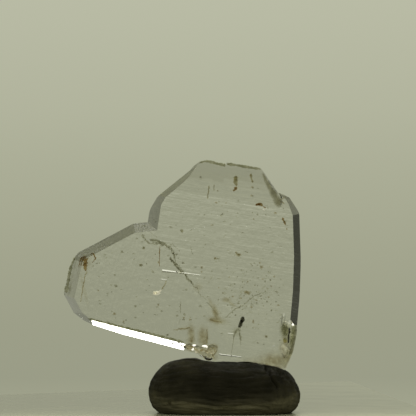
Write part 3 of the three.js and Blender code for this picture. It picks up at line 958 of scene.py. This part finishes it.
seam()
marks("edge_shade_and_dirt", OLIVE, 9, EDGE_SHADE_AND_DIRT)
band_marks()
marks("dark_tails", SHADE, 2, TAIL_MARKS)
marks("dark_inclusion", DARK, 12, INCLUSION_MARKS)
marks("rust_marks", RUST, 3, RUST_MARKS)
brown_specks()
marks("rust_fans", TAN, 15, RUST_FANS)
marks("olive_marks", UMBER, 17, OLIVE_MARKS)
specks()
film("brown_film", TAN, BROWN_SPOTS, -0.1)
film("olive_film", OLIVE, OLIVE_SPOTS, 0.1)
film("fracture_film", OLIVE, FRACTURE_SPOTS, -0.3)
film("tongue_shade_film", TONGUE, TONGUE_SHADE_SPOTS, HOLLOW_MOUTH, 3.0, buried=False)
brown_lines()
grey_films()
cracks()
cream_grain()
painted_glints()
marks("ochre_mark", OCHRE, 8, OCHRE_MARKS)

# The putty's skin, in millimetres
RIDGE = 0.47  # from one finger ridge to the next
VOXEL = 0.085
RELAXED = 6
POCKET_HALF = 0.80  # the skin stays plain in the pocket that holds the crystal
POCKET_FLOOR = 2.4
# Its creases: route in pixels, depth and half width
CREASES = [
    ([(265, 366), (269, 371), (273, 379), (277, 384)], 0.30, 0.10),
    ([(283, 371), (288, 376), (291, 381), (294, 395)], 0.22, 0.10),
    ([(276, 367), (281, 374), (282, 379)], 0.10, 0.08),
    ([(169.6, 401.6), (170.4, 403)], 0.25, 0.11),
]
# Painted shade in the middle of its front, where little light falls: its place and reach, as X and Z
PAINTED_SHADE_PLACE = (3.1, 2.3)
PAINTED_SHADE_REACH = (7.2, 1.8)


def stroke(points, route, depth, half):
    """How deep a pressed line is at each point, seen from the front."""
    found = np.zeros(len(points))
    places = [spot(*p) for p in route]
    flat = points[:, [0, 2]]
    for a, b in zip(places, places[1:]):
        a = np.array((a.x, a.z))
        b = np.array((b.x, b.z))
        share = np.clip(((flat - a) @ (b - a)) / ((b - a) @ (b - a)), 0, 1)
        away = np.linalg.norm(flat - a - share[:, None] * (b - a), axis=1)
        found = np.maximum(found, depth * np.exp(-((away / half) ** 2)))
    return found * (points[:, 1] < 0)


def even_mesh(obj):
    """The putty's solid as a fine, even mesh in millimetres."""
    obj.data.transform(Matrix.Scale(1 / MM, 4))
    remesh = obj.modifiers.new("even", "REMESH")
    remesh.mode = "VOXEL"
    remesh.voxel_size = VOXEL
    relax = obj.modifiers.new("relax", "SMOOTH")
    relax.iterations = RELAXED
    bpy.context.view_layer.update()
    shape = bpy.data.meshes.new_from_object(obj.evaluated_get(bpy.context.evaluated_depsgraph_get()))
    obj.modifiers.clear()
    return shape


def finger_relief(points, outward):
    """How far the skin rises at each point: finger ridges, which turn round the right end, with fine
    wrinkles, broad dents and the creases."""

    def wander(scale, offset):
        return np.array([noise.noise(Vector(p) * scale + Vector((offset, 0, 0))) for p in points])

    def wrinkle(x, y, z):
        return noise.noise(Vector((x * 0.7 + 9, y * 0.7, z * 5.5 + x * 0.4)))

    x, y, z = points.T
    patchy = wander(0.8, 11)
    level = z + 0.45 * wander(0.35, 3) + 0.014 * (x - 3) ** 2
    turned = np.hypot(x - 5.0, (z - 1.4) * 1.25)
    end = np.clip((x - 6.3) / 0.9, 0, 1)
    end = end * end * (3 - 2 * end)
    phase = 2 * math.pi * (level * (1 - end) + turned * end) / RIDGE
    ridges = (0.5 + 0.5 * np.cos(phase + 1.6 * patchy)) ** 0.6
    strength = np.clip(0.8 + 1.1 * wander(0.9, 27), 0.2, 1.4)
    wrinkles = np.array([wrinkle(*p) for p in points])
    rim = np.clip(1 - np.abs(outward[:, 1]) / 0.35, 0, 1) * (1 - np.clip(z - 2.6, 0, 1))
    height = (0.085 * (ridges - 1) * strength + 0.07 * wrinkles) * (1 - 0.65 * rim)
    height = height + 0.06 * patchy + 0.025 * wander(4.5, 40)
    for route, depth, half in CREASES:
        height -= stroke(points, route, depth, half)
    in_pocket = (np.abs(y) < POCKET_HALF) & (z > POCKET_FLOOR)
    return np.where(in_pocket, 0.0, height * np.clip(z / 0.35, 0, 1))


def kneaded_putty():
    """The putty with the ridges, creases and dents that fingers left in it."""
    obj = add("putty_skin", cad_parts["putty_base"].data.copy())
    shape = even_mesh(obj)
    points = np.empty(len(shape.vertices) * 3)
    shape.vertices.foreach_get("co", points)
    points = points.reshape(-1, 3)
    outward = np.array([v.normal for v in shape.vertices])
    points = points + outward * finger_relief(points, outward)[:, None]
    points[:, 2] = np.maximum(points[:, 2], 0)
    shape.vertices.foreach_set("co", (points * MM).ravel())
    shape.polygons.foreach_set("use_smooth", [True] * len(shape.polygons))
    shape.update()
    shape.materials.clear()
    shape.materials.append(putty_material())
    obj.data = shape
    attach(obj, "root")
    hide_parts("putty_base")


def putty_material():
    """Dull dark putty with fine wrinkles, and painted shade that darkens the middle of its front."""
    mat, n = material("putty")
    place = in_millimetres(n)
    patch = n.noise(place, 0.8, 5.0)
    grain = n.noise(place, 14.0, 4.0)
    creased = n.add("ShaderNodeMapping", {"Vector": place, "Scale": (1.1, 1.1, 6.0)}).outputs[0]
    rough = n.mix(0.3, n.noise(creased, 1.0, 6.0), grain)
    bump = n.add("ShaderNodeBump", {"Strength": 1.0, "Distance": 0.22 * MM, "Height": rough})
    axes = n.add("ShaderNodeSeparateXYZ", {0: place})
    # Painted shade: the colour grows darker towards the middle of the front and stays paler at the ends
    # and the bottom.
    (across, up), (wide, high) = PAINTED_SHADE_PLACE, PAINTED_SHADE_REACH
    aside = n.math("MULTIPLY_ADD", axes.outputs["X"], 1 / wide, -across / wide)
    above = n.math("MULTIPLY_ADD", axes.outputs["Z"], 1 / high, -up / high)
    outward = n.math("MULTIPLY_ADD", aside, aside, n.math("MULTIPLY", above, above))
    outward = n.math("MULTIPLY_ADD", patch, 0.5, n.math("SUBTRACT", outward, 0.25))
    painted_shade = n.ramp(outward, [(0.15, 0.15), (0.55, 0.34), (0.95, 1.0)], "EASE")
    colour = n.ramp(patch, [(0.3, (0.052, 0.050, 0.030)), (0.7, (0.088, 0.083, 0.050))])
    colour = n.mix(1.0, colour, painted_shade, "MULTIPLY")
    shader = n.add(
        "ShaderNodeBsdfPrincipled",
        {
            "Base Color": colour,
            "Roughness": n.ramp(grain, [(0.3, 0.6), (0.7, 0.85)]),
            "Specular IOR Level": 0.15,
            "Normal": bump.outputs[0],
        },
    )
    n.add("ShaderNodeOutputMaterial", {"Surface": shader.outputs[0]})
    return mat


kneaded_putty()
